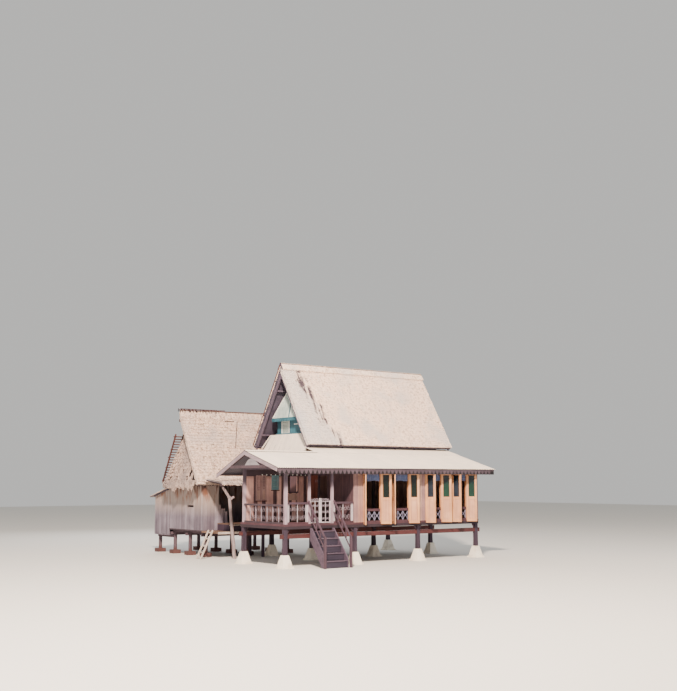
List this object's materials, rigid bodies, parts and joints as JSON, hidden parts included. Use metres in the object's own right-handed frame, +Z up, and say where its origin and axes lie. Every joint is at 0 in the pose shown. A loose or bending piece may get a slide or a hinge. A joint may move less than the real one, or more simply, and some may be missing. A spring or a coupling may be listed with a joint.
{
  "type": "malay house",
  "caption": "Timber house on stilts with a steep thatch roof over the hall, a long zinc front roof, a corner verandah with stair and gate, and a thatched kitchen annex.",
  "frame": {"origin": "on the ground at the centre of the front left footing, under the verandah corner stilt", "axes": "+X along the front towards the right end, +Y towards the back, +Z up"},
  "size_m": [10.3303, 11.6303, 7.45],
  "materials": {
    "whitewash": "chalky whitewashed concrete, rough",
    "dark_post_wood": "dark weathered post timber, rough",
    "red_girder_wood": "reddish stained beam timber, rough",
    "floor_boards": "worn floor boards, matte",
    "wall_planks_tan": "oiled vertical wall planks, matte",
    "wall_planks_grey": "weathered grey-brown wall planks, matte",
    "annex_planks": "bare silvered planks, rough",
    "window_leaf_wood": "varnished orange leaf timber with panes, satin",
    "wrought_iron_white": "white painted ironwork, semi-matte",
    "door_wood": "reddish door timber, satin",
    "stair_wood": "dark painted stair timber, matte",
    "zinc_sheet": "weathered pale corrugated zinc, dull",
    "barge_board": "faded pink painted boards, matte",
    "fringe_board": "dark scalloped eave board, matte",
    "thatch": "sun-bleached palm thatch, rough",
    "batten_wood": "red-brown round battens, rough",
    "gable_board": "pale blue-green painted boards, matte",
    "pale_log": "peeled pale logs, rough"
  },
  "bodies": {
    "house": {"footing_front_1": "whitewash", "footing_front_2": "whitewash", "footing_front_3": "whitewash", "footing_front_4": "whitewash", "footing_middle_1": "whitewash", "footing_middle_2": "whitewash", "footing_middle_3": "whitewash", "footing_middle_4": "whitewash", "footing_back_1": "whitewash", "footing_back_2": "whitewash", "footing_back_3": "whitewash", "front_stilts": "dark_post_wood", "middle_stilts": "dark_post_wood", "back_stilts": "dark_post_wood", "annex_stilts": "dark_post_wood", "hall_frame": "dark_post_wood", "floor_frame": "red_girder_wood", "hall_floor": "floor_boards", "verandah_floor": "floor_boards", "annex_floor": "floor_boards", "passage_floor": "floor_boards", "front_wall": "wall_planks_tan", "right_wall": "wall_planks_tan", "back_wall": "wall_planks_tan", "left_wall": "wall_planks_grey", "verandah_back_wall": "wall_planks_grey", "verandah_frame": "wall_planks_grey", "annex_walls": "annex_planks", "window_1": "window_leaf_wood", "window_2": "window_leaf_wood", "window_3": "window_leaf_wood", "window_4": "window_leaf_wood", "front_balustrade_left": "wrought_iron_white", "front_balustrade_right": "wrought_iron_white", "side_balustrade": "wrought_iron_white", "stair": "stair_wood", "stair_rail_left": "barge_board", "stair_rail_right": "barge_board", "wing_barge_boards": "barge_board", "front_zinc_roof": "zinc_sheet", "wing_back_zinc_roof": "zinc_sheet", "passage_roof": "zinc_sheet", "eave_fringe": "fringe_board", "thatch_front": "thatch", "thatch_back": "thatch", "ridge_cap": "thatch", "annex_thatch_front": "thatch", "annex_thatch_back": "thatch", "lean_to_roof": "thatch", "annex_gable_thatch": "thatch", "zinc_roof_frame": "batten_wood", "thatch_frame": "batten_wood", "annex_roof_poles": "batten_wood", "left_gable_screen": "gable_board", "right_gable_screen": "gable_board", "forked_post": "pale_log", "log_ladder": "pale_log"},
    "gate_left": {"gate_leaf_left": "wrought_iron_white"},
    "gate_right": {"gate_leaf_right": "wrought_iron_white"},
    "hall_door": {"hall_door": "door_wood"}
  },
  "joints": [
    {"name": "gate_left_hinge", "type": "hinge", "parent": "house", "child": "gate_left", "pos_m": [1.03, -0.015, 1.45], "axis": [0, 0, 1], "range_deg": [0, 90]},
    {"name": "gate_right_hinge", "type": "hinge", "parent": "house", "child": "gate_right", "pos_m": [1.87, -0.015, 1.45], "axis": [0, 0, 1], "range_deg": [-90, 0]},
    {"name": "hall_door_hinge", "type": "hinge", "parent": "house", "child": "hall_door", "pos_m": [2.844, 2.09, 1.45], "axis": [0, 0, 1], "range_deg": [0, 180]}
  ]
}
